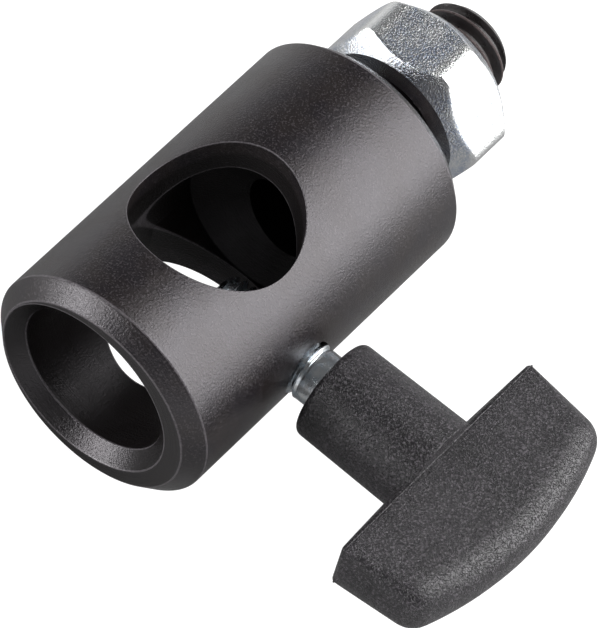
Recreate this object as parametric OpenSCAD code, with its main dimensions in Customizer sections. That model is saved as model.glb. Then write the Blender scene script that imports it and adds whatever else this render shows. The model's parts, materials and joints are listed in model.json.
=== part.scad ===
// Spigot adapter: a round body with a blind socket, a cross bore, a threaded stud
// with a lock nut at the closed end, and a clamp screw with a T-shaped knob.
// The axes of the socket and the cross bore meet at the origin. The socket's mouth
// faces -Y, the stud points along +Y and the clamp screw's knob along +X.
// All sizes are in millimetres.

/* [Body] */
// Outer diameter of the body
body_d = 25; // [24.5:0.5:40]
// Distance from the origin to the socket's mouth
body_front = 17; // [14:0.5:40]
// Distance from the origin to the body's closed end
body_back = 23; // [19:0.5:40]
// How far the body's own axis lies beside the socket's axis, towards the screw
body_offset = 1; // [0:0.1:2]
// Chamfer round the mouth's outer edge
mouth_chamfer = 1.7; // [0.2:0.1:1.8]
// Chamfer round the closed end's edge
back_chamfer = 1; // [0.2:0.1:2]

/* [Socket and cross bore] */
// Diameter of the blind socket
socket_d = 16.4; // [12:0.1:17]
// Full-width depth of the socket behind the cross bore's far side
socket_margin = 0.2; // [0:0.1:2]
// Lead-in chamfer inside the socket's mouth
lead_in = 1.5; // [0.2:0.1:1.6]
// Diameter of the cross bore
cross_d = 16.6; // [12:0.1:17]
// Point angle of the drill that made the socket
drill_angle = 118; // [90:1:140]

/* [Stud] */
// Thread diameter of the stud
stud_d = 10; // [6:1:12]
// How far the stud stands out of the body
stud_out = 17.6; // [14:0.2:40]
// How deep the stud is screwed into the body
stud_in = 8; // [4:0.5:9]
// Chamfer on both ends of the stud
stud_chamfer = 1; // [0.2:0.1:1.5]

/* [Lock nut] */
// Width of the lock nut across its flats
nut_flats = 17; // [15:0.5:24]
// How much is turned off each of the lock nut's six corners
nut_corner_cut = 0.3; // [0.1:0.05:0.8]
// Height of the lock nut
nut_h = 8; // [4:0.5:9]
// Gap between the lock nut and the body
nut_gap = 4.2; // [1:0.1:5]
// How far inside the flats a bearing face ends and its chamfer begins
nut_face_in = 0.85; // [0.2:0.05:1]
// Angle of one flat's normal from the X axis
nut_turned = 36; // [0:1:60]
// Wall of the threaded core inside the lock nut
nut_core_wall = 0.6; // [0.4:0.1:1]

/* [Clamp screw] */
// How far the screw's axis lies off the cross bore's axis, along the body
screw_side = -0.3; // [-0.5:0.1:0.5]
// Thread diameter of the clamp screw
screw_d = 6; // [4:1:8]
// How far the screw's tip stands in the bore
screw_bite = 5.8; // [0:0.1:8]
// Length of thread left showing outside the body
screw_showing = 1; // [0:0.1:2.5]
// How much thinner than the thread the smooth neck is
neck_under = 0.3; // [0.1:0.1:0.5]
// Chamfer on the screw's tip
tip_chamfer = 0.6; // [0.2:0.1:1]
// How far the head that is buried in the knob stands out round the neck
head_rim = 1.15; // [0.5:0.05:1.5]
// Height of the buried head
head_h = 4; // [2:0.5:6]

/* [Knob] */
// Gap between the body and the knob's hub
knob_gap = 2.75; // [2.6:0.05:6]
// Diameter of the hub at the end that faces the body
hub_d = 10.5; // [9.8:0.1:14]
// Growth of the hub's diameter along its length
hub_draft = 0.3; // [0:0.05:1]
// Length of the hub up to the bar
hub_l = 11.65; // [8:0.05:20]
// Rounding of the hub's front edge
hub_round = 0.8; // [0.1:0.1:0.9]
// Length of the bar
bar_l = 30.5; // [20:0.5:50]
// How much shorter the bar is at each outer corner
bar_taper = 0.85; // [0:0.05:3]
// Depth of the bar from the hub side to the top of its arched back
bar_depth = 13.05; // [10:0.05:20]
// Height that the bar's back is arched
bar_arch = 2; // [0.2:0.1:4]
// Height that the bar's hub side is bowed
bar_bow = 0.9; // [0:0.1:2]
// Greatest thickness of the bar
bar_t = 6.4; // [5:0.1:9.5]
// Thickness of the bar's flat hub side
bar_hub_t = 3.6; // [2.6:0.1:5]
// Rounding along the bar's back
bar_round = 2.85; // [1:0.05:3.1]
// Rounding along the bar's hub side
bar_hub_round = 1.25; // [0.5:0.05:1.3]
// How much shorter the bar is at each hub-side corner
bar_corner = 1.1; // [0:0.05:2]
// How far the bar's middle is moulded off the screw's axis
bar_shift = -0.3; // [-1:0.1:1]

/* [Hidden] */

// Radial clearances of the threads and of the buried head
thread_gap = 0.05;
stud_gap = 0.02;
core_gap = 0.02;
buried_gap = 0.05;
// Overrun of a cut past the face that it opens
over = 1;
// The mould parts in a plane across the knob: its depth behind the bar's hub side,
// the bar's thickness there and the rounding along it
line_depth = 1.25;
line_t = bar_t - 0.2;
line_round = 0.4;
// Facets round a curve, the coarser one for the bar's rounded skin
$fn = 96;
skin_fn = 24;
arch_steps = 6;

body_r = body_d / 2;
socket_r = socket_d / 2;
cross_r = cross_d / 2;
stud_r = stud_d / 2;
screw_r = screw_d / 2;
neck_r = (screw_d - neck_under) / 2;
head_r = neck_r + head_rim;

// Depths along Y
socket_end = cross_r + socket_margin;
drill_end = socket_end + socket_r / tan(drill_angle / 2);
stud_start = body_back - stud_in;
stud_end = body_back + stud_out;
nut_start = body_back + nut_gap;

// Distances along X
body_side = body_offset + body_r;
tip_x = socket_r - screw_bite;
thread_end = body_side + screw_showing;
hub_x = body_side + knob_gap;
bar_x = hub_x + hub_l;
head_start = bar_x - head_h;

// Radii of the nut; its chamfer runs from the bearing face out to the turned corners
core_r = stud_r + thread_gap + nut_core_wall;
nut_hex_d = nut_flats / cos(30);
nut_corner_r = nut_hex_d / 2 - nut_corner_cut;
nut_chamfer = nut_corner_r - nut_flats / 2 + nut_face_in;

// Roundings of the bar, which can't be more than half its thickness
back_round = min(bar_round, bar_t / 2);
front_round = min(bar_hub_round, bar_hub_t / 2);

// Turns a shape that stands on the XY plane to point along +Y, or to lie on the screw's axis
module along_y() rotate([-90, 0, 0]) children();
module along_screw() translate([0, screw_side, 0]) rotate([0, 90, 0]) children();

// Round bar with a 45 degree chamfer at each end, standing on the XY plane
module chamfered_rod(r, h, low, high)
    rotate_extrude()
        polygon([[0, 0], [r - low, 0], [r, low], [r, h - high], [r - high, h], [0, h]]);

module body() {
    color([0.09, 0.08, 0.1])
        difference() {
            translate([body_offset, -body_front, 0])
                along_y()
                    chamfered_rod(body_r, body_front + body_back, mouth_chamfer, back_chamfer);
            socket();
            cylinder(h = 2 * (body_r + over), r = cross_r, center = true);
            screw_hole();
            stud_hole();
        }
}

// Blind socket with its lead-in and the cone that the drill leaves
module socket()
    along_y()
        rotate_extrude()
            polygon([[0, -body_front - over], [socket_r + lead_in + over, -body_front - over],
                     [socket_r, -body_front + lead_in], [socket_r, socket_end], [0, drill_end]]);

module screw_hole()
    along_screw()
        cylinder(h = body_side + over, r = screw_r + thread_gap);

module stud_hole()
    translate([body_offset, socket_end, 0])
        along_y()
            cylinder(h = body_back + over - socket_end, r = stud_r + stud_gap);

module stud()
    color([0.12, 0.11, 0.11])
        translate([body_offset, stud_start, 0])
            along_y()
                chamfered_rod(stud_r, stud_in + stud_out, stud_chamfer, stud_chamfer);

// The nut's threaded core, which screws along the stud and carries the hexagon
module nut_thread()
    color([0.62, 0.63, 0.66])
        translate([body_offset, nut_start, 0])
            along_y()
                difference() {
                    cylinder(h = nut_h, r = core_r);
                    translate([0, 0, -over])
                        cylinder(h = nut_h + 2 * over, r = stud_r + thread_gap);
                }

// Hexagon whose corners are turned round and chamfered on both faces
module lock_nut()
    color([0.72, 0.73, 0.76])
        translate([body_offset, nut_start, 0])
            along_y()
                difference() {
                    intersection() {
                        rotate([0, 0, -nut_turned - 30])
                            cylinder(h = nut_h, d = nut_hex_d, $fn = 6);
                        chamfered_rod(nut_corner_r, nut_h, nut_chamfer, nut_chamfer);
                    }
                    translate([0, 0, -over])
                        cylinder(h = nut_h + 2 * over, r = core_r + core_gap);
                }

// Threaded end, smooth neck and the turned head that is buried in the knob
module clamp_screw()
    color([0.75, 0.75, 0.77])
        along_screw() {
            translate([0, 0, tip_x])
                chamfered_rod(screw_r, thread_end - tip_x, tip_chamfer, neck_under / 2);
            translate([0, 0, thread_end - over])
                cylinder(h = bar_x - thread_end + over, r = neck_r);
            translate([0, 0, head_start])
                cylinder(h = head_h, r = head_r);
        }

module t_knob()
    color([0.1, 0.1, 0.11])
        difference() {
            union() {
                hub();
                bar();
            }
            along_screw() {
                translate([0, 0, hub_x - over])
                    cylinder(h = head_start - hub_x + 2 * over, r = neck_r + buried_gap);
                translate([0, 0, head_start - buried_gap])
                    cylinder(h = head_h + 2 * buried_gap, r = head_r + buried_gap);
            }
        }

// Tapered hub with a rounded front edge, which ends in the plane where the mould parts
module hub() {
    front_r = hub_d / 2;
    back_r = front_r + hub_draft / 2;
    hub_run = hub_l + line_depth;
    along_screw()
        translate([0, 0, hub_x])
            rotate_extrude() {
                polygon([[0, 0], [front_r - hub_round, 0], [front_r - hub_round, hub_round],
                         [front_r, hub_round], [back_r, hub_run], [0, hub_run]]);
                intersection() {
                    translate([front_r - hub_round, hub_round])
                        circle(r = hub_round);
                    square([front_r, hub_round]);
                }
            }
}

// Cross bar of the T: bowed on the hub side, arched at the back, rounded all round
module bar()
    translate([bar_x, screw_side + bar_shift, 0])
        hull()
            for (side = [-1, 1], step = [-arch_steps:arch_steps]) {
                share = step / arch_steps;
                half_l = bar_l / 2;
                bow = bar_bow * share ^ 2;
                arch = bar_arch * share ^ 2;
                // hub side, moulding line and arched back
                bead([front_round + bow, share * (half_l - bar_corner / 2 - front_round),
                      side * (bar_hub_t / 2 - front_round)], front_round);
                bead([line_depth, share * (half_l - bar_corner - line_round),
                      side * (line_t / 2 - line_round)], line_round);
                bead([bar_depth - back_round - arch, share * (half_l - bar_taper - back_round),
                      side * (bar_t / 2 - back_round)], back_round);
            }

module bead(place, r)
    translate(place)
        sphere(r = r, $fn = skin_fn);

body();
stud();
nut_thread();
lock_nut();
clamp_screw();
t_knob();
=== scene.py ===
import json
import math

import bmesh
import bpy
from mathutils import Matrix, Vector


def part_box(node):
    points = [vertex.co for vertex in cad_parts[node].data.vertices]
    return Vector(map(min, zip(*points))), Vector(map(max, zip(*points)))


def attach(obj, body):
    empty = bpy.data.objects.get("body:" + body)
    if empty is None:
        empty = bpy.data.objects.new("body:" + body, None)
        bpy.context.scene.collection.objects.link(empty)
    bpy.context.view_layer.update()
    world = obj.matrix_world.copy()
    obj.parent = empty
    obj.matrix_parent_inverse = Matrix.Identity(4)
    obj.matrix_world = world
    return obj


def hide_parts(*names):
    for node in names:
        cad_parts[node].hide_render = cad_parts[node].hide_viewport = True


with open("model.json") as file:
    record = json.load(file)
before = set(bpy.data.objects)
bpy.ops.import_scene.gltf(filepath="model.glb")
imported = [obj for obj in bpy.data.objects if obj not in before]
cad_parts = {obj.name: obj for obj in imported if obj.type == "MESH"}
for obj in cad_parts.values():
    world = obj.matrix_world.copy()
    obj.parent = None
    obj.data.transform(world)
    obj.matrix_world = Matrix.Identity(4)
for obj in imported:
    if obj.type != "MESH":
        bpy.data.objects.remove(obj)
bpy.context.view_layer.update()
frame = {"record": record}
mm = 0.001
weldDistance = 1e-6
print("frame loaded")

# where things are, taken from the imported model
mounts = {m["name"]: m for m in frame["record"]["mounts"]}
bodyLow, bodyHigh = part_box("body")
studLow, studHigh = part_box("stud")
nutLow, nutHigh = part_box("lock_nut")
screwLow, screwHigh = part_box("clamp_screw")
knobLow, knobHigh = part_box("t_knob")
bodyRadius = (bodyHigh.z - bodyLow.z) / 2
bodyAxisX = (bodyLow.x + bodyHigh.x) / 2
socketRadius = mounts["socket"]["dims"]["r_mm"] * mm
socketDepth = mounts["socket"]["dims"]["length_mm"] * mm
crossRadius = mounts["cross_bore"]["dims"]["r_mm"] * mm
studRadius = (studHigh.z - studLow.z) / 2
studLength = studHigh.y - studLow.y
nutHeight = nutHigh.y - nutLow.y
screwAxisY = (screwLow.y + screwHigh.y) / 2

cameraSettings = {
    "aim": (0.009161, 0.003894, 0.0),
    "azimuth": 25.134,
    "elevation": 56.332,
    "roll": 17.128,
    "distance": 0.5640,
    "lens": 344.06,
    "sensor": 36.0,
    "clip": (0.05, 10.0),
}


def setCamera(azimuth, elevation, roll, distance, aim, lens, sensor, clip):
    turn, lift = math.radians(azimuth), math.radians(elevation)
    across = math.cos(lift)
    back = Vector((math.sin(turn) * across, -math.cos(turn) * across, math.sin(lift)))
    camera = bpy.data.objects.new("camera", bpy.data.cameras.new("camera"))
    bpy.context.scene.collection.objects.link(camera)
    camera.data.lens = lens
    camera.data.sensor_width = sensor
    camera.data.clip_start, camera.data.clip_end = clip
    camera.rotation_mode = "QUATERNION"
    camera.location = Vector(aim) + back * distance
    upright = (-back).to_track_quat("-Z", "Y").to_matrix().to_4x4()
    rolled = upright @ Matrix.Rotation(math.radians(roll), 4, "Z")
    camera.rotation_quaternion = rolled.to_quaternion()
    bpy.context.scene.camera = camera


setCamera(**cameraSettings)
print("camera set")


def plug(tree, socket, value):
    if isinstance(value, bpy.types.NodeSocket):
        tree.links.new(value, socket)
    else:
        socket.default_value = value


def addNode(tree, kind, inputs=None, **settings):
    node = tree.nodes.new(kind)
    for name, value in settings.items():
        setattr(node, name, value)
    for key, value in (inputs or {}).items():
        plug(tree, node.inputs[key], value)
    return node


def calc(tree, operation, *values):
    kind = "ShaderNodeMath"
    return addNode(tree, kind, dict(enumerate(values)), operation=operation).outputs[0]


def ramp(tree, value, low, high, fromZero=0.0, toOne=1.0):
    return addNode(tree, "ShaderNodeMapRange", {
        "Value": value, "From Min": low, "From Max": high, "To Min": fromZero, "To Max": toOne,
    }, interpolation_type="SMOOTHSTEP").outputs[0]


def meshObject(name, vertices, faces):
    mesh = bpy.data.meshes.new(name)
    mesh.from_pydata([tuple(v) for v in vertices], [], [tuple(f) for f in faces])
    piece = bpy.data.objects.new(name, mesh)
    bpy.context.scene.collection.objects.link(piece)
    return piece


def tidyMesh(piece, sharpAngle=32):
    work = bmesh.new()
    work.from_mesh(piece.data)
    bmesh.ops.remove_doubles(work, verts=work.verts, dist=weldDistance)
    bmesh.ops.dissolve_degenerate(work, edges=work.edges, dist=weldDistance)
    bmesh.ops.recalc_face_normals(work, faces=work.faces)
    work.to_mesh(piece.data)
    work.free()
    piece.data.polygons.foreach_set("use_smooth", [True] * len(piece.data.polygons))
    piece.data.set_sharp_from_angle(angle=math.radians(sharpAngle))
    return piece


def plainCopy(piece):
    # bakes the modifiers into an ordinary mesh
    shown = piece.evaluated_get(bpy.context.evaluated_depsgraph_get())
    mesh = bpy.data.meshes.new_from_object(shown)
    piece.modifiers.clear()
    piece.data = mesh
    return piece


def cutAway(piece, *cutters, operation="DIFFERENCE"):
    for cutter in cutters:
        step = piece.modifiers.new("cut", "BOOLEAN")
        step.operation, step.solver, step.object = operation, "EXACT", cutter
        plainCopy(piece)
        bpy.data.objects.remove(cutter)
    return piece


def joined(piece, *others):
    work = bmesh.new()
    for part in (piece, *others):
        work.from_mesh(part.data)
    work.to_mesh(piece.data)
    work.free()
    for part in others:
        bpy.data.objects.remove(part)
    return piece


def eased(corners, steps=4):
    # a (radius, height, easing) outline with each corner rounded over its easing
    points = []
    for i, (radius, height, easing) in enumerate(corners):
        here = Vector((radius, height))
        if easing == 0 or i in (0, len(corners) - 1):
            points.append(here)
            continue
        before = (Vector(corners[i - 1][:2]) - here).normalized() * easing + here
        after = (Vector(corners[i + 1][:2]) - here).normalized() * easing + here
        for k in range(steps + 1):
            t = k / steps
            points.append(before * (1 - t) ** 2 + here * 2 * t * (1 - t) + after * t ** 2)
    return points


def lathed(name, outline, around, place, radiusRule=None):
    # an outline of (radius, height) points spun round local Z and then put in place
    vertices, faces = [], []
    rings = []
    for radius, height in outline:
        if radius < weldDistance:
            vertices.append((0, 0, height))
            rings.append([len(vertices) - 1] * around)
            continue
        ring = []
        for k in range(around):
            angle = 2 * math.pi * k / around
            r = radiusRule(radius, angle) if radiusRule else radius
            vertices.append((r * math.cos(angle), r * math.sin(angle), height))
            ring.append(len(vertices) - 1)
        rings.append(ring)
    for low, high in zip(rings, rings[1:]):
        for k in range(around):
            n = (k + 1) % around
            corners = [low[k], low[n], high[n], high[k]]
            face = list(dict.fromkeys(corners))
            if len(face) > 2:
                faces.append(face)
    piece = meshObject(name, vertices, faces)
    piece.data.transform(place)
    return piece


def alongY(x, y):
    return Matrix.Translation((x, y, 0)) @ Matrix.Rotation(-math.pi / 2, 4, "X")


def alongScrew():
    return Matrix.Translation((0, screwAxisY, 0)) @ Matrix.Rotation(math.pi / 2, 4, "Y")


def grownPiece(name, group, place, **inputs):
    # a piece that a node tree makes, as a plain mesh
    piece = bpy.data.objects.new(name, bpy.data.meshes.new(name))
    bpy.context.scene.collection.objects.link(piece)
    maker = piece.modifiers.new(name, "NODES")
    maker.node_group = group
    sockets = [item for item in group.interface.items_tree if item.in_out == "INPUT"]
    ids = {socket.name: socket.identifier for socket in sockets}
    for label, value in inputs.items():
        maker[ids[label.replace("_", " ")]] = value
    plainCopy(piece)
    piece.data.transform(place)
    return piece


def pieceTree(name, sizes, counts):
    # an empty tree whose inputs are sizes, whole numbers and a material
    tree = bpy.data.node_groups.new(name, "GeometryNodeTree")
    face = tree.interface
    for values, kind in ((sizes, "NodeSocketFloat"), (counts, "NodeSocketInt")):
        for label, value in values.items():
            socket = face.new_socket(label, in_out="INPUT", socket_type=kind)
            socket.default_value = value
    face.new_socket("Material", in_out="INPUT", socket_type="NodeSocketMaterial")
    face.new_socket("Geometry", in_out="OUTPUT", socket_type="NodeSocketGeometry")
    return tree, tree.nodes.new("NodeGroupInput").outputs


def finishTree(tree, geometry, material):
    real = addNode(tree, "GeometryNodeRealizeInstances", {"Geometry": geometry})
    painted = addNode(tree, "GeometryNodeSetMaterial",
                      {"Geometry": real.outputs[0], "Material": material})
    addNode(tree, "NodeGroupOutput", {"Geometry": painted.outputs[0]})
    return tree


# a helical thread as one skin, outside a rod or inside a hole
def threadTree():
    tree, given = pieceTree("screwThread", {
        "Pitch": 0.0015, "Crest Radius": 0.005, "Depth": 0.00092, "Start": 0.0, "End": 0.02,
        "Start Chamfer": 0.001, "End Chamfer": 0.001, "Run Out": 0.0, "Neck Radius": 0.0,
        "Phase": 0.0, "Side": 1.0, "Root Flat": 0.25, "Crest Flat": 0.125,
    }, {"Around": 128, "Rows Per Turn": 12})
    pitch, crest, start, end = given["Pitch"], given["Crest Radius"], given["Start"], given["End"]
    side = given["Side"]

    # a grid whose rows follow the helix: u goes once round, v counts the turns
    length = calc(tree, "SUBTRACT", end, start)
    turns = calc(tree, "ADD", calc(tree, "CEIL", calc(tree, "DIVIDE", length, pitch)), 3.0)
    rows = calc(tree, "ADD", calc(tree, "MULTIPLY", turns, given["Rows Per Turn"]), 1.0)
    columns = calc(tree, "ADD", given["Around"], 1.0)
    grid = addNode(tree, "GeometryNodeMeshGrid",
                   {"Size X": 1.0, "Size Y": turns, "Vertices X": columns, "Vertices Y": rows})
    where = addNode(tree, "ShaderNodeSeparateXYZ",
                    {0: addNode(tree, "GeometryNodeInputPosition").outputs[0]})
    u = calc(tree, "ADD", where.outputs[0], 0.5)
    v = calc(tree, "ADD", where.outputs[1], calc(tree, "MULTIPLY", turns, 0.5))
    climb = calc(tree, "SUBTRACT", calc(tree, "ADD", calc(tree, "ADD", u, v), given["Phase"]), 2.0)
    height = calc(tree, "MULTIPLY_ADD", climb, pitch, start)
    height = calc(tree, "MINIMUM", calc(tree, "MAXIMUM", height, start), end)

    # the flank between root and crest, then what the chamfers leave of it
    wave = calc(tree, "ABSOLUTE", calc(tree, "MULTIPLY_ADD", calc(tree, "FRACT", v), 2.0, -1.0))
    root = calc(tree, "SUBTRACT", crest, given["Depth"])
    flank = addNode(tree, "ShaderNodeMapRange",
                    {"Value": wave, "From Min": given["Root Flat"],
                     "From Max": calc(tree, "SUBTRACT", 1.0, given["Crest Flat"]),
                     "To Min": root, "To Max": crest}).outputs[0]
    fromStart, toEnd = calc(tree, "SUBTRACT", height, start), calc(tree, "SUBTRACT", end, height)
    nearStart = calc(tree, "SUBTRACT", given["Start Chamfer"], fromStart)
    nearEnd = calc(tree, "SUBTRACT", given["End Chamfer"], toEnd)
    nearStart, nearEnd = calc(tree, "MAXIMUM", nearStart, 0.0), calc(tree, "MAXIMUM", nearEnd, 0.0)
    cut = calc(tree, "MULTIPLY", side, calc(tree, "ADD", nearStart, nearEnd))
    limit = calc(tree, "MULTIPLY", side, calc(tree, "SUBTRACT", crest, cut))
    radius = calc(tree, "MINIMUM", calc(tree, "MULTIPLY", side, flank), limit)
    radius = calc(tree, "MULTIPLY", side, radius)
    fade = ramp(tree, height, calc(tree, "SUBTRACT", end, given["Run Out"]), end)
    fades = calc(tree, "GREATER_THAN", given["Run Out"], 0.0)
    fade = calc(tree, "MULTIPLY", fade, fades)
    change = calc(tree, "SUBTRACT", given["Neck Radius"], radius)
    radius = calc(tree, "MULTIPLY_ADD", change, fade, radius)
    turn = calc(tree, "MULTIPLY", u, 2 * math.pi)
    spot = addNode(tree, "ShaderNodeCombineXYZ",
                   {"X": calc(tree, "MULTIPLY", radius, calc(tree, "COSINE", turn)),
                    "Y": calc(tree, "MULTIPLY", radius, calc(tree, "SINE", turn)), "Z": height})
    wound = addNode(tree, "GeometryNodeSetPosition",
                    {"Geometry": grid.outputs["Mesh"], "Position": spot.outputs[0]})
    welded = addNode(tree, "GeometryNodeMergeByDistance",
                     {"Geometry": wound.outputs[0], "Distance": weldDistance})
    return finishTree(tree, welded.outputs[0], given["Material"])


screwThread = threadTree()


def closeEnds(piece):
    # fills the round openings at a thread's ends
    work = bmesh.new()
    work.from_mesh(piece.data)
    bmesh.ops.remove_doubles(work, verts=work.verts, dist=weldDistance)
    bmesh.ops.dissolve_degenerate(work, edges=work.edges, dist=weldDistance)
    bmesh.ops.holes_fill(work, edges=[e for e in work.edges if e.is_boundary], sides=0)
    work.to_mesh(piece.data)
    work.free()
    return piece


def shaderGroup(name, inputs, outputs):
    # a number makes a plain input and None makes a vector one
    tree = bpy.data.node_groups.new(name, "ShaderNodeTree")
    for label, value in inputs.items():
        kind = "NodeSocketVector" if value is None else "NodeSocketFloat"
        socket = tree.interface.new_socket(label, in_out="INPUT", socket_type=kind)
        if value is not None:
            socket.default_value = value
    for label in outputs:
        tree.interface.new_socket(label, in_out="OUTPUT", socket_type="NodeSocketFloat")
    return tree, tree.nodes.new("NodeGroupInput").outputs, tree.nodes.new("NodeGroupOutput").inputs


def noise(tree, vector, size, detail=2.0, roughness=0.55):
    # size is the width of one blotch in metres
    scale = calc(tree, "DIVIDE", 1.0, size)
    return addNode(tree, "ShaderNodeTexNoise", {
        "Vector": vector, "Scale": scale, "Detail": detail, "Roughness": roughness}).outputs["Fac"]


def mixColour(tree, factor, first, second):
    mix = addNode(tree, "ShaderNodeMix", data_type="RGBA", clamp_factor=True)
    plug(tree, mix.inputs[0], factor)
    for socket, colour in ((mix.inputs[6], first), (mix.inputs[7], second)):
        plug(tree, socket, colour if isinstance(colour, bpy.types.NodeSocket) else (*colour, 1))
    return mix.outputs[2]


# fine grain with broad patches and a few tiny pits
def grainGroup():
    tree, given, result = shaderGroup("surfaceGrain", {
        "Vector": None, "Grain Size": 0.0002, "Patch Size": 0.004,
        "Pit Spacing": 0.0008, "Pit Reach": 0.1,
    }, ("Grain", "Patch", "Pits"))
    plug(tree, result["Grain"], noise(tree, given["Vector"], given["Grain Size"], 3.0, 0.6))
    patch = noise(tree, given["Vector"], given["Patch Size"])
    plug(tree, result["Patch"], ramp(tree, patch, 0.3, 0.7))
    cells = addNode(tree, "ShaderNodeTexVoronoi", {
        "Vector": given["Vector"], "Scale": calc(tree, "DIVIDE", 1.0, given["Pit Spacing"])})
    near = calc(tree, "LESS_THAN", cells.outputs["Distance"], given["Pit Reach"])
    # only the cells whose own number ends high have a pit
    number = addNode(tree, "ShaderNodeSeparateColor", {0: cells.outputs["Color"]}).outputs[0]
    number = calc(tree, "FRACT", calc(tree, "MULTIPLY", number, 7.0))
    few = calc(tree, "GREATER_THAN", number, 0.7)
    plug(tree, result["Pits"], calc(tree, "MULTIPLY", near, few))
    return tree


# rings left by a lathe: the same at one distance from the axis and one place along it
def ringGroup():
    tree, given, result = shaderGroup("turningRings", {
        "From Axis": 0.0, "Along": 0.0, "Spacing": 0.0002}, ("Rings",))
    place = addNode(tree, "ShaderNodeCombineXYZ",
                    {"X": given["From Axis"], "Y": given["Along"]}).outputs[0]
    plug(tree, result["Rings"], noise(tree, place, given["Spacing"], 2.0, 0.7))
    return tree


# a narrow mask on the edge where two faces meet, which two distances pin down
def rimGroup():
    tree, given, result = shaderGroup("wornRim", {
        "First": 0.0, "First At": 0.0, "Second": 0.0, "Second At": 0.0,
        "Width": 0.0001, "Fade": 0.0001,
    }, ("Mask",))
    a = calc(tree, "SUBTRACT", given["First"], given["First At"])
    b = calc(tree, "SUBTRACT", given["Second"], given["Second At"])
    away = calc(tree, "SQRT", calc(tree, "MULTIPLY_ADD", a, a, calc(tree, "MULTIPLY", b, b)))
    outer = calc(tree, "ADD", given["Width"], given["Fade"])
    plug(tree, result["Mask"], ramp(tree, away, given["Width"], outer, 1.0, 0.0))
    return tree


surfaceGrain, turningRings, wornRim = grainGroup(), ringGroup(), rimGroup()


def useGroup(tree, group, **inputs):
    node = addNode(tree, "ShaderNodeGroup", node_tree=group)
    for label, value in inputs.items():
        plug(tree, node.inputs[label.replace("_", " ")], value)
    return node.outputs


def newMaterial(name, **settings):
    material = bpy.data.materials.new(name)
    material.use_nodes = True
    shader = material.node_tree.nodes["Principled BSDF"]
    for label, value in settings.items():
        shader.inputs[label.replace("_", " ")].default_value = value
    return material, material.node_tree, shader


def objectPlace(tree):
    # object coordinates, also as single numbers
    place = addNode(tree, "ShaderNodeTexCoord").outputs["Object"]
    return place, *addNode(tree, "ShaderNodeSeparateXYZ", {0: place}).outputs


def fromAxis(tree, a, b, centre=0.0):
    # distance from an axis that crosses the a, b plane at (centre, 0)
    a = calc(tree, "SUBTRACT", a, centre)
    return calc(tree, "SQRT", calc(tree, "MULTIPLY_ADD", a, a, calc(tree, "MULTIPLY", b, b)))


def roughen(tree, shader, height):
    # height is in metres
    bump = addNode(tree, "ShaderNodeBump", {"Height": height, "Distance": 1.0})
    plug(tree, shader.inputs["Normal"], bump.outputs[0])


# the body's edge cuts, which its skin is worn along
bodyEdges = {"mouthChamfer": 1.7 * mm, "leadIn": 1.5 * mm, "backChamfer": 1.0 * mm}
anodisedLook = {
    "name": "blackAnodised", "specular": 0.5, "tint": (1.0, 0.955, 1.0, 1.0),
    "lilacBlack": (0.0085, 0.0072, 0.0085), "brownBlack": (0.0105, 0.0080, 0.0072),
    # the darkest black is painted shade for the socket, the holes and the pits
    "boreShadeBlack": (0.0050, 0.0040, 0.0040), "wornGrey": (0.085, 0.078, 0.084),
    # the light grey grains are painted glints
    "paintedGlintGrey": (0.046, 0.040, 0.043), "paintedGlint": 0.62, "gloss": (0.21, 0.27),
    "skin": {"Grain_Size": 0.2 * mm, "Patch_Size": 4 * mm,
             "Pit_Spacing": 0.9 * mm, "Pit_Reach": 0.09},
    "grainHeight": 0.055 * mm, "pitDepth": 0.033 * mm, "pitShade": 0.8,
    "ringSpacing": 0.26 * mm, "ringHeight": 0.045 * mm, "ringFade": (0.2 * mm, 0.02 * mm),
    "rimWidth": 0.06 * mm, "rimFade": 0.09 * mm, "mouthFade": (0.4 * mm, -0.1 * mm),
}


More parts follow.
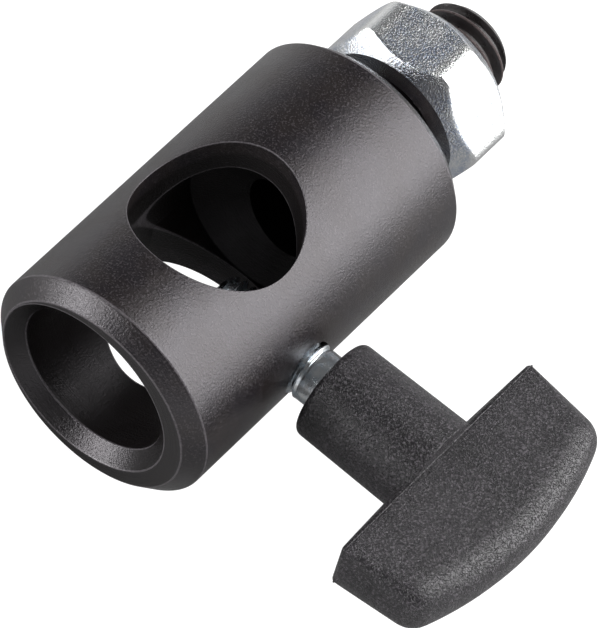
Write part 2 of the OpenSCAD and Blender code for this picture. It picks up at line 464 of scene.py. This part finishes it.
def anodisedMaterial(name, specular, tint, lilacBlack, brownBlack, boreShadeBlack, wornGrey,
                     paintedGlintGrey, paintedGlint, gloss, skin, grainHeight, pitDepth, pitShade,
                     ringSpacing, ringHeight, ringFade, rimWidth, rimFade, mouthFade,
                     mouthChamfer, leadIn, backChamfer):
    material, tree, shader = newMaterial(name, IOR=1.55, Specular_IOR_Level=specular,
                                         Specular_Tint=tint)
    place, x, y, z = objectPlace(tree)
    fromBody = fromAxis(tree, x, z, bodyAxisX)
    fromSocket = fromAxis(tree, x, z)
    fromCross = fromAxis(tree, x, y)
    r = bodyRadius
    edges = (
        (fromBody, r - mouthChamfer, y, bodyLow.y),
        (fromBody, r, y, bodyLow.y + mouthChamfer),
        (fromSocket, socketRadius + leadIn, y, bodyLow.y),
        (fromSocket, socketRadius, y, bodyLow.y + leadIn),
        (fromBody, r, y, bodyHigh.y - backChamfer),
        (fromBody, r - backChamfer, y, bodyHigh.y),
        (fromCross, crossRadius, fromBody, r),
        (fromCross, crossRadius, fromSocket, socketRadius),
    )
    worn = 0.0
    for first, firstAt, second, secondAt in edges:
        rim = useGroup(tree, wornRim, First=first, First_At=firstAt, Second=second,
                       Second_At=secondAt, Width=rimWidth, Fade=rimFade)["Mask"]
        worn = calc(tree, "MAXIMUM", worn, rim)
    surface = useGroup(tree, surfaceGrain, Vector=place, **skin)
    worn = calc(tree, "MULTIPLY", worn, ramp(tree, surface["Grain"], 0.3, 0.6, 0.35, 1.0))
    mouthEdge = r - mouthChamfer
    outside = ramp(tree, fromBody, *(mouthEdge - fade for fade in mouthFade))
    colour = mixColour(tree, surface["Patch"], lilacBlack, brownBlack)
    # inside the mouth's edge the colour turns to the darker black, painted shade in the socket and
    # holes
    colour = mixColour(tree, outside, boreShadeBlack, colour)
    # painted glints: the lightest grains turn grey, outside the bores only
    bright = ramp(tree, surface["Grain"], 0.50, 0.66)
    bright = calc(tree, "MULTIPLY", bright, calc(tree, "MULTIPLY", outside, paintedGlint))
    colour = mixColour(tree, bright, colour, paintedGlintGrey)
    # the pits take the same darker black, painted shade in them
    pitted = calc(tree, "MULTIPLY", surface["Pits"], pitShade)
    colour = mixColour(tree, pitted, colour, boreShadeBlack)
    plug(tree, shader.inputs["Base Color"], mixColour(tree, worn, colour, wornGrey))
    plug(tree, shader.inputs["Roughness"], ramp(tree, surface["Patch"], 0.0, 1.0, *gloss))
    # the grain lies all over, and the turning rings only inside the round outer skin
    rings = useGroup(tree, turningRings, From_Axis=fromSocket, Along=y, Spacing=ringSpacing)
    skinned = ramp(tree, fromBody, *(r - fade for fade in ringFade))
    machined = calc(tree, "SUBTRACT", 1.0, skinned)
    height = calc(tree, "MULTIPLY", surface["Grain"], grainHeight)
    turned = calc(tree, "MULTIPLY", rings["Rings"], machined)
    height = calc(tree, "MULTIPLY_ADD", turned, ringHeight, height)
    roughen(tree, shader, calc(tree, "MULTIPLY_ADD", surface["Pits"], -pitDepth, height))
    return material


oxideLook = {
    "black": (0.012, 0.0095, 0.0095), "oily": (0.022, 0.017, 0.017),
    # the crest brown is worn crests with a painted highlight on them
    "crestWearHighlightBrown": (0.125, 0.098, 0.096), "crestDepth": 0.16 * mm, "crestMetal": 0.7,
    "gloss": (0.26, 0.38), "grainHeight": 0.05 * mm,
    "skin": {"Grain_Size": 0.2 * mm, "Patch_Size": 2 * mm,
             "Pit_Spacing": 0.6 * mm, "Pit_Reach": 0.1},
}


def oxideMaterial(black, oily, crestWearHighlightBrown, crestDepth, crestMetal, gloss, grainHeight, skin):
    material, tree, shader = newMaterial("blackOxide")
    place, x, _, z = objectPlace(tree)
    surface = useGroup(tree, surfaceGrain, Vector=place, **skin)
    fromStud = fromAxis(tree, x, z, bodyAxisX)
    # the crests turn lighter brown and more metallic: wear with a painted highlight
    crest = ramp(tree, fromStud, studRadius - crestDepth, studRadius - crestDepth / 4)
    crest = calc(tree, "MULTIPLY", crest, ramp(tree, surface["Grain"], 0.3, 0.65, 0.4, 1.0))
    colour = mixColour(tree, surface["Patch"], black, oily)
    plug(tree, shader.inputs["Base Color"], mixColour(tree, crest, colour, crestWearHighlightBrown))
    plug(tree, shader.inputs["Roughness"], ramp(tree, surface["Patch"], 0.0, 1.0, *gloss))
    plug(tree, shader.inputs["Metallic"], calc(tree, "MULTIPLY", crest, crestMetal))
    roughen(tree, shader, calc(tree, "MULTIPLY", surface["Grain"], grainHeight))
    return material


# the nut's sizes that its finish follows
nutFace = {"flats": 17.0 * mm, "faceRadius": 7.65 * mm}
zincLook = {
    "blueGrey": (0.50, 0.55, 0.65), "silver": (0.70, 0.72, 0.74), "white": (0.84, 0.85, 0.85),
    "gloss": (0.14, 0.21), "grainHeight": 0.08 * mm, "cornerPolish": 0.06,
    "cornerFade": (0.35 * mm, 0.75 * mm), "ringSpacing": 0.12 * mm, "ringHeight": 0.006 * mm,
    "faceFade": 0.2 * mm,
    "skin": {"Grain_Size": 0.2 * mm, "Patch_Size": 2.5 * mm,
             "Pit_Spacing": 0.5 * mm, "Pit_Reach": 0.16},
}


def zincMaterial(blueGrey, silver, white, gloss, grainHeight, cornerPolish, cornerFade,
                 ringSpacing, ringHeight, faceFade, skin, flats, faceRadius):
    material, tree, shader = newMaterial("zincPlate", Metallic=1.0)
    place, x, y, z = objectPlace(tree)
    surface = useGroup(tree, surfaceGrain, Vector=place, **skin)
    fromNut = fromAxis(tree, x, z, bodyAxisX)
    colour = mixColour(tree, surface["Patch"], blueGrey, silver)
    colour = mixColour(tree, ramp(tree, surface["Grain"], 0.48, 0.64), colour, white)
    # the turned corners turn whiter and glossier: polish with a painted highlight
    polishAndHighlight = ramp(tree, fromNut, *(flats / 2 + fade for fade in cornerFade))
    plug(tree, shader.inputs["Base Color"], mixColour(tree, polishAndHighlight, colour, white))
    dull = ramp(tree, surface["Patch"], 0.0, 1.0, *gloss)
    dull = calc(tree, "MULTIPLY_ADD", polishAndHighlight, -cornerPolish, dull)
    plug(tree, shader.inputs["Roughness"], dull)
    rings = useGroup(tree, turningRings, From_Axis=fromNut, Along=y, Spacing=ringSpacing)
    faced = ramp(tree, fromNut, faceRadius, faceRadius + faceFade, 1.0, 0.0)
    turned = calc(tree, "MULTIPLY", rings["Rings"], faced)
    height = calc(tree, "MULTIPLY", surface["Grain"], grainHeight)
    roughen(tree, shader, calc(tree, "MULTIPLY_ADD", turned, ringHeight, height))
    return material


brightZincLook = {
    "blueGrey": (0.50, 0.56, 0.62), "silver": (0.80, 0.82, 0.83), "gloss": (0.14, 0.30),
    "ringSpacing": 0.14 * mm, "ringHeight": 0.004 * mm, "dentHeight": 0.03 * mm,
    "skin": {"Grain_Size": 1.1 * mm, "Patch_Size": 0.9 * mm,
             "Pit_Spacing": 0.5 * mm, "Pit_Reach": 0.1},
}


def brightZincMaterial(blueGrey, silver, gloss, ringSpacing, ringHeight, dentHeight, skin):
    material, tree, shader = newMaterial("brightZinc", Metallic=1.0)
    place, x, y, z = objectPlace(tree)
    surface = useGroup(tree, surfaceGrain, Vector=place, **skin)
    colour = mixColour(tree, surface["Patch"], blueGrey, silver)
    plug(tree, shader.inputs["Base Color"], colour)
    plug(tree, shader.inputs["Roughness"],
         ramp(tree, surface["Patch"], 0.0, 1.0, gloss[1], gloss[0]))
    fromScrew = fromAxis(tree, y, z, screwAxisY)
    rings = useGroup(tree, turningRings, From_Axis=fromScrew, Along=x, Spacing=ringSpacing)
    height = calc(tree, "MULTIPLY", surface["Grain"], dentHeight)
    roughen(tree, shader, calc(tree, "MULTIPLY_ADD", rings["Rings"], ringHeight, height))
    return material


plasticLook = {
    "black": (0.0085, 0.0075, 0.0088), "grey": (0.016, 0.0145, 0.0167),
    # the crest grey is a painted highlight on the high grains
    "crestHighlightGrey": (0.125, 0.112, 0.126), "crestHighlightShare": 0.65, "gloss": (0.22, 0.30),
    "worm": 0.24 * mm, "wormWidth": 0.075, "wormHeight": 0.06 * mm, "grainHeight": 0.05 * mm,
    "skin": {"Grain_Size": 0.22 * mm, "Patch_Size": 5 * mm,
             "Pit_Spacing": 0.7 * mm, "Pit_Reach": 0.1},
}


def plasticMaterial(black, grey, crestHighlightGrey, crestHighlightShare, gloss, worm, wormWidth, wormHeight,
                    grainHeight, skin):
    # a leathery skin of winding ridges, from where the noise crosses its middle value
    material, tree, shader = newMaterial("knobPlastic", IOR=1.5)
    place = objectPlace(tree)[0]
    surface = useGroup(tree, surfaceGrain, Vector=place, **skin)
    winding = calc(tree, "SUBTRACT", noise(tree, place, worm, 1.0, 0.4), 0.5)
    ridge = ramp(tree, calc(tree, "ABSOLUTE", winding), 0.0, wormWidth, 1.0, 0.0)
    colour = mixColour(tree, surface["Patch"], black, grey)
    # the high grains take a lighter grey, a painted highlight
    crest = ramp(tree, surface["Grain"], 0.50, 0.66, 0.0, crestHighlightShare)
    plug(tree, shader.inputs["Base Color"], mixColour(tree, crest, colour, crestHighlightGrey))
    plug(tree, shader.inputs["Roughness"], ramp(tree, ridge, 0.0, 1.0, gloss[1], gloss[0]))
    height = calc(tree, "MULTIPLY", surface["Grain"], grainHeight)
    roughen(tree, shader, calc(tree, "MULTIPLY_ADD", ridge, wormHeight, height))
    return material


# the bore finish is a copy that reflects less, painted shade for the bore walls
boreLook = {**anodisedLook, "name": "anodisedBore", "specular": 0.24, "gloss": (0.34, 0.42)}
anodised = anodisedMaterial(**anodisedLook, **bodyEdges)
shadedBoreCopy = anodisedMaterial(**boreLook, **bodyEdges)
blackOxide = oxideMaterial(**oxideLook)
zincPlate = zincMaterial(**zincLook, **nutFace)
brightZinc = brightZincMaterial(**brightZincLook)
knobPlastic = plasticMaterial(**plasticLook)
print("materials mixed")

bodySettings = {
    **bodyEdges,
    "edgeEasing": 0.12 * mm,
    "boreEasing": 0.14 * mm,
    "drillAngle": 118.0,
    "tappedRadius": 4.25 * mm,
    "tapLead": 0.6 * mm,
    "tapClearance": 0.3 * mm,
    "screwHoleRadius": 3.05 * mm,
    "over": 1.0 * mm,  # how far a cutter runs past the face it opens
    "crossReach": 2.5 * mm,
    "around": 384,
    "aroundHoles": 96,
}


def crossBoreCutter(bore, easing, reach, around=256, steps=4):
    # a plug that flares where it meets the round outside, which leaves the bore's rim eased
    def rim(angle, out, drop):
        x, y = (bore + out) * math.cos(angle), (bore + out) * math.sin(angle)
        return x, y, math.sqrt(bodyRadius ** 2 - (x - bodyAxisX) ** 2) - drop

    shares = [k / steps for k in range(steps + 1)]
    curve = [(easing * share ** 2, easing * (1 - share) ** 2) for share in shares]
    curve.append((easing, -reach))
    angles = [2 * math.pi * k / around for k in range(around)]
    rings = [[rim(angle, out, drop) for angle in angles] for out, drop in curve]
    rings = [[(x, y, -z) for x, y, z in ring] for ring in reversed(rings)] + rings
    vertices = [v for ring in rings for v in ring]
    faces = []
    for r in range(len(rings) - 1):
        for k in range(around):
            low, n = r * around, (k + 1) % around
            faces.append((low + k, low + n, low + around + n, low + around + k))
    for ring, sign in ((0, -1), (len(rings) - 1, 1)):
        vertices.append((0, 0, sign * (bodyRadius + reach)))
        for k in range(around):
            faces.append((ring * around + k, ring * around + (k + 1) % around, len(vertices) - 1))
    return tidyMesh(meshObject("crossCutter", vertices, faces))


def makeBody(mouthChamfer, backChamfer, leadIn, edgeEasing, boreEasing, drillAngle,
             tappedRadius, tapLead, tapClearance, screwHoleRadius, over, crossReach, around,
             aroundHoles):
    length = bodyHigh.y - bodyLow.y
    r = bodyRadius
    outline = eased([
        (0, 0, 0), (r - mouthChamfer, 0, edgeEasing), (r, mouthChamfer, edgeEasing),
        (r, length - backChamfer, edgeEasing), (r - backChamfer, length, edgeEasing),
        (0, length, 0),
    ])
    body = lathed("adapterBody", outline, around, alongY(bodyAxisX, bodyLow.y))
    tidyMesh(body)
    drillTip = socketDepth + socketRadius / math.tan(math.radians(drillAngle / 2))
    socket = lathed("socketCutter", eased([
        (0, -over, 0), (socketRadius + leadIn + over, -over, 0),
        (socketRadius, leadIn, edgeEasing), (socketRadius, socketDepth, edgeEasing),
        (0, drillTip, 0),
    ]), around, alongY(0, bodyLow.y))
    tidyMesh(socket)
    cross = crossBoreCutter(crossRadius, boreEasing, crossReach)
    tapMouth = studRadius + tapClearance
    tapped = lathed("tappedCutter", [
        (0, socketDepth - over), (tappedRadius, socketDepth - over),
        (tappedRadius, length - tapLead), (tapMouth, length), (tapMouth, length + over),
        (0, length + over),
    ], aroundHoles, alongY(bodyAxisX, bodyLow.y))
    tidyMesh(tapped)
    side = lathed("screwHoleCutter", [
        (0, 0), (screwHoleRadius, 0), (screwHoleRadius, bodyHigh.x + over),
        (0, bodyHigh.x + over),
    ], aroundHoles, alongScrew())
    tidyMesh(side)
    cutAway(body, socket, cross, tapped, side)
    tidyMesh(body, sharpAngle=28)
    body.data.materials.clear()
    body.data.materials.append(anodised)
    body.data.materials.append(shadedBoreCopy)
    # the walls of the socket and the holes take a copy that reflects less than the outside, painted
    # shade in the bores
    for face in body.data.polygons:
        inside = math.hypot(face.center.x - bodyAxisX, face.center.z) < r - mouthChamfer
        between = bodyLow.y + leadIn < face.center.y < bodyHigh.y - backChamfer
        face.material_index = int(inside and between)
    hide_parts("body")
    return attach(body, "adapter")


adapterBody = makeBody(**bodySettings)
print("body cut", len(adapterBody.data.polygons), "faces")

studSettings = {
    "pitch": 1.5 * mm, "depth": 0.92 * mm, "chamfer": 1.0 * mm, "phase": 0.0, "around": 144,
}


def makeStud(pitch, depth, chamfer, phase, around):
    stud = grownPiece("threadedStud", screwThread, alongY(bodyAxisX, studLow.y),
                      Pitch=pitch, Crest_Radius=studRadius, Depth=depth, Start=0.0,
                      End=studLength, Start_Chamfer=chamfer, End_Chamfer=chamfer, Phase=phase,
                      Around=around, Material=blackOxide)
    closeEnds(stud)
    tidyMesh(stud, sharpAngle=25)
    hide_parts("stud")
    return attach(stud, "adapter")


threadedStud = makeStud(**studSettings)
print("stud threaded")

nutSettings = {
    **nutFace,
    "turnedCorners": 9.5 * mm,
    "chamferSlope": 0.94,
    "flatNormal": 36.0,
    "softening": 0.26 * mm,
    "countersink": 5.45 * mm,
    "boreClearance": 0.05 * mm,
    "boreThread": 0.8 * mm,
    "rows": (3, 10, 36, 14),  # down the countersink, over the face, chamfer and half the flat
    "around": 360,
}


def makeNut(flats, faceRadius, turnedCorners, chamferSlope, flatNormal, softening, countersink,
            boreClearance, boreThread, rows, around):
    bore = studRadius + boreClearance
    sink = countersink - bore
    rise = (turnedCorners - faceRadius) * chamferSlope
    corners = [(bore, sink), (countersink, 0), (faceRadius, 0), (turnedCorners, rise),
               (turnedCorners, nutHeight / 2)]
    outline = []
    for (r1, h1), (r2, h2), count in zip(corners, corners[1:], rows):
        shares = [k / count for k in range(count)]
        outline += [(r1 + (r2 - r1) * share, h1 + (h2 - h1) * share) for share in shares]
    outline += [(r, nutHeight - h) for r, h in reversed(outline)]
    normals = [math.radians(flatNormal + 60 * k) for k in range(6)]

    def hexRule(radius, angle):
        if radius < flats / 2 - 2 * softening:
            return radius
        facing = max(math.cos(-angle - n) for n in normals)
        reach = flats / 2 / facing
        blend = max(softening - abs(reach - radius), 0.0) / softening
        return min(reach, radius) - blend * blend * softening / 4

    nut = lathed("lockNut", outline, around, alongY(bodyAxisX, nutLow.y), hexRule)
    # its thread starts where the stud's crests are, so that the two mesh
    phase = ((studLow.y - nutLow.y - sink) / studSettings["pitch"] + 0.5) % 1.0
    core = grownPiece("nutBore", screwThread, alongY(bodyAxisX, nutLow.y),
                      Pitch=studSettings["pitch"], Crest_Radius=bore - boreThread,
                      Depth=-boreThread, Start=sink, End=nutHeight - sink,
                      Start_Chamfer=boreThread, End_Chamfer=boreThread, Side=-1.0,
                      Phase=phase, Around=around, Material=zincPlate)
    joined(nut, core)
    nut.data.materials.clear()
    nut.data.materials.append(zincPlate)
    tidyMesh(nut, sharpAngle=40)
    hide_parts("lock_nut", "nut_thread")
    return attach(nut, "nut")


lockNut = makeNut(**nutSettings)
print("nut made")

screwSettings = {
    "pitch": 1.0 * mm, "depth": 0.61 * mm, "tipChamfer": 0.7 * mm, "radius": 3.0 * mm,
    "neckRadius": 2.85 * mm, "threadEnd": 14.5 * mm, "runOut": 0.9 * mm, "phase": 0.0,
    "around": 96,
}


def makeScrew(pitch, depth, tipChamfer, radius, neckRadius, threadEnd, runOut, phase, around):
    screw = grownPiece("clampScrew", screwThread, alongScrew(), Pitch=pitch,
                       Crest_Radius=radius, Depth=depth, Start=screwLow.x, End=threadEnd,
                       Start_Chamfer=tipChamfer, End_Chamfer=0.0, Run_Out=runOut,
                       Neck_Radius=neckRadius, Phase=phase, Around=around, Material=brightZinc)
    neck = lathed("neck", [(neckRadius, threadEnd), (neckRadius, screwHigh.x)], around,
                  alongScrew())
    joined(screw, neck)
    closeEnds(screw)
    screw.data.materials.clear()
    screw.data.materials.append(brightZinc)
    tidyMesh(screw, sharpAngle=30)
    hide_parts("clamp_screw")
    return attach(screw, "knob")


clampScrew = makeScrew(**screwSettings)
print("screw made")

knobSettings = {
    "hubFront": 5.25 * mm, "hubBack": 5.4 * mm, "hubRound": 0.8 * mm, "hubSeam": 0.08 * mm,
    "holeClearance": 0.03 * mm, "barStart": 27.9 * mm, "barLength": 30.5 * mm,
    "thickness": 6.4 * mm, "taper": 0.85 * mm, "corner": 1.1 * mm, "arch": 2.0 * mm,
    "bow": 0.9 * mm, "lineDepth": 1.25 * mm, "lineRound": 0.4 * mm, "lineThickness": 6.2 * mm,
    "frontThickness": 3.6 * mm, "frontRound": 1.25 * mm, "backRound": 2.85 * mm,
    "stations": 12, "voxel": 0.2 * mm, "smoothing": 0.5, "smoothings": 4,
    "flashRadius": 0.075 * mm, "flashWave": 0.05 * mm, "over": 1.0 * mm,
    "aroundHub": 192, "aroundHole": 96,
}


def beadPoints(centre, radius, steps=12):
    # points all over a ball
    points = []
    for i in range(steps + 1):
        lift = math.pi * i / steps
        for k in range(2 * steps):
            turn = math.pi * k / steps
            x, y = math.sin(lift) * math.cos(turn), math.sin(lift) * math.sin(turn)
            points.append(Vector(centre) + radius * Vector((x, y, math.cos(lift))))
    return points


# the flash line that the mould leaves: a thin, slightly wavy ridge round a rounded oblong
def flashTree():
    tree, given = pieceTree("mouldFlash", {
        "Width": 0.03, "Height": 0.006, "Corner": 0.0004, "Ridge Radius": 0.00007,
        "Wave": 0.00005, "Wave Length": 0.0011,
    }, {"Points": 420})
    oblong = addNode(tree, "GeometryNodeCurvePrimitiveQuadrilateral",
                     {"Width": given["Width"], "Height": given["Height"]})
    rounded = addNode(tree, "GeometryNodeFilletCurve", {"Curve": oblong.outputs[0]}, mode="POLY")
    plug(tree, rounded.inputs["Radius"], given["Corner"])
    plug(tree, rounded.inputs["Count"], 6)
    path = addNode(tree, "GeometryNodeResampleCurve",
                   {"Curve": rounded.outputs[0], "Count": given["Points"]})
    where = addNode(tree, "GeometryNodeInputPosition").outputs[0]
    wobble = addNode(tree, "ShaderNodeTexNoise", {
        "Vector": where, "Scale": calc(tree, "DIVIDE", 1.0, given["Wave Length"]), "Detail": 1.0})
    sway = calc(tree, "SUBTRACT", calc(tree, "MULTIPLY", wobble.outputs["Fac"], 2.0), 1.0)
    sway = calc(tree, "MULTIPLY", sway, given["Wave"])
    offset = addNode(tree, "ShaderNodeCombineXYZ", {"Z": sway}).outputs[0]
    swayed = addNode(tree, "GeometryNodeSetPosition",
                     {"Geometry": path.outputs[0], "Offset": offset})
    section = addNode(tree, "GeometryNodeCurvePrimitiveCircle",
                      {"Resolution": 8, "Radius": given["Ridge Radius"]})
    ridge = addNode(tree, "GeometryNodeCurveToMesh",
                    {"Curve": swayed.outputs[0], "Profile Curve": section.outputs[0]})
    return finishTree(tree, ridge.outputs[0], given["Material"])


mouldFlash = flashTree()


def makeKnob(hubFront, hubBack, hubRound, hubSeam, holeClearance, barStart, barLength, thickness,
             taper, corner, arch, bow, lineDepth, lineRound, lineThickness, frontThickness,
             frontRound, backRound, stations, voxel, smoothing, smoothings, flashRadius,
             flashWave, over, aroundHub, aroundHole):
    half = barLength / 2
    depth = knobHigh.x - barStart
    barMiddle = Vector((barStart, (knobLow.y + knobHigh.y) / 2, 0))
    work = bmesh.new()
    for side in (-1, 1):
        for step in range(-stations, stations + 1):
            share = step / stations
            # hub side, moulding line and arched back
            sag = share ** 2
            beads = (
                (frontRound + bow * sag, half - corner / 2 - frontRound,
                 frontThickness / 2, frontRound),
                (lineDepth, half - corner - lineRound, lineThickness / 2, lineRound),
                (depth - backRound - arch * sag, half - taper - backRound,
                 thickness / 2, backRound),
            )
            for x, reach, level, radius in beads:
                for point in beadPoints((x, share * reach, side * (level - radius)), radius):
                    work.verts.new(point + barMiddle)
    hull = bmesh.ops.convex_hull(work, input=work.verts)
    spare = hull["geom_unused"] + hull["geom_interior"]
    loose = {item for item in spare if isinstance(item, bmesh.types.BMVert)}
    bmesh.ops.delete(work, geom=list(loose), context="VERTS")
    mesh = bpy.data.meshes.new("knob")
    work.to_mesh(mesh)
    work.free()
    knob = bpy.data.objects.new("tKnob", mesh)
    bpy.context.scene.collection.objects.link(knob)
    remesh = knob.modifiers.new("remesh", "REMESH")
    remesh.mode, remesh.voxel_size = "VOXEL", voxel
    smooth = knob.modifiers.new("smooth", "SMOOTH")
    smooth.factor, smooth.iterations = smoothing, smoothings
    plainCopy(knob)
    front, hubEnd = knobLow.x, barStart + lineDepth
    hub = lathed("hub", eased([
        (0, front, 0), (hubFront, front, hubRound), (hubBack, hubEnd, hubSeam), (0, hubEnd, 0),
    ], 8), aroundHub, alongScrew())
    holeRadius = screwSettings["neckRadius"] + holeClearance
    hole = lathed("hole", [
        (0, front - over), (holeRadius, front - over), (holeRadius, screwHigh.x),
        (0, screwHigh.x),
    ], aroundHole, alongScrew())
    cutAway(knob, tidyMesh(hub), operation="UNION")
    cutAway(knob, tidyMesh(hole))
    upright = Matrix.Rotation(math.pi / 2, 4, "Z") @ Matrix.Rotation(math.pi / 2, 4, "X")
    line = Matrix.Translation(barMiddle + Vector((lineDepth, 0, 0))) @ upright
    flash = grownPiece("flash", mouldFlash, line, Width=2 * (half - corner),
                       Height=lineThickness, Corner=lineRound, Ridge_Radius=flashRadius,
                       Wave=flashWave, Material=knobPlastic)
    joined(knob, flash)
    knob.data.materials.clear()
    knob.data.materials.append(knobPlastic)
    tidyMesh(knob, sharpAngle=40)
    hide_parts("t_knob")
    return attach(knob, "knob")


tKnob = makeKnob(**knobSettings)
print("knob made", len(tKnob.data.polygons), "faces")

stageSettings = {
    "floorAlbedo": 0.20, "floorGlow": (0.06, 0.42), "floorFade": (38 * mm, 65 * mm),
    "floorWhite": 0.97, "floorSize": 4.0,
    "skyColour": (0.97, 0.98, 1.0), "skyLow": 1.0, "skyHigh": 0.13, "skyFade": 0.42,
    "boxes": {
        "keyBox": {"angle": 46.0, "tilt": 30.0, "distance": 0.9, "width": 0.9, "length": 1.4,
                   "radiance": 5.5},
        "sideBox": {"angle": 155.0, "tilt": -43.0, "distance": 0.9, "width": 0.5,
                    "length": 0.5, "radiance": 9.0},
    },
}


def makeFloor(albedo, glow, fade, white, size):
    # it looks white itself and is mirrored in the metal as a glowing grey, darker near the piece as
    # painted shade and lighter away from it
    floor = lathed("floor", [(0, bodyLow.z), (size / 2, bodyLow.z)], 64, Matrix.Identity(4))
    material, tree, shader = newMaterial("floorPaper", Roughness=0.9)
    shader.inputs["Base Color"].default_value = (albedo, albedo, albedo, 1)
    shader.inputs["Emission Color"].default_value = (1, 1, 1, 1)
    direct = addNode(tree, "ShaderNodeLightPath").outputs["Is Camera Ray"]
    _, x, y, _ = objectPlace(tree)
    # the glow seen in reflections is painted shade near the piece, brightening farther off
    glowWithPaintedShade = ramp(tree, fromAxis(tree, x, y), *fade, *glow)
    lift = calc(tree, "MULTIPLY", direct, calc(tree, "SUBTRACT", white, glowWithPaintedShade))
    plug(tree, shader.inputs["Emission Strength"], calc(tree, "ADD", glowWithPaintedShade, lift))
    floor.data.materials.append(material)
    tidyMesh(floor)
    if floor.data.polygons[0].normal.z < 0:
        floor.data.flip_normals()


def softBox(name, angle, tilt, distance, width, length, radiance):
    # angle turns from +X up to +Z, and tilt leans towards the stud
    a, t = math.radians(angle), math.radians(tilt)
    direction = Vector((math.cos(a) * math.cos(t), math.sin(t), math.sin(a) * math.cos(t)))
    light = bpy.data.lights.new(name, "AREA")
    light.shape, light.size, light.size_y = "RECTANGLE", width, length
    light.energy = radiance * math.pi * width * length
    lamp = bpy.data.objects.new(name, light)
    bpy.context.scene.collection.objects.link(lamp)
    lamp.location = direction * distance
    lamp.rotation_mode = "QUATERNION"
    lamp.rotation_quaternion = direction.to_track_quat("Z", "Y")


def makeStage(floorAlbedo, floorGlow, floorFade, floorWhite, floorSize, skyColour, skyLow,
              skyHigh, skyFade, boxes):
    makeFloor(floorAlbedo, floorGlow, floorFade, floorWhite, floorSize)
    for name, box in boxes.items():
        softBox(name, **box)
    world = bpy.data.worlds.new("studio")
    bpy.context.scene.world = world
    world.use_nodes = True
    tree = world.node_tree
    sky = tree.nodes["Background"]
    upward = addNode(tree, "ShaderNodeSeparateXYZ", {
        0: addNode(tree, "ShaderNodeTexCoord").outputs["Generated"]}).outputs[2]
    plug(tree, sky.inputs["Strength"], ramp(tree, upward, 0.0, skyFade, skyLow, skyHigh))
    sky.inputs["Color"].default_value = (*skyColour, 1)
    bpy.context.scene.view_settings.view_transform = "Standard"


makeStage(**stageSettings)
print("stage set")
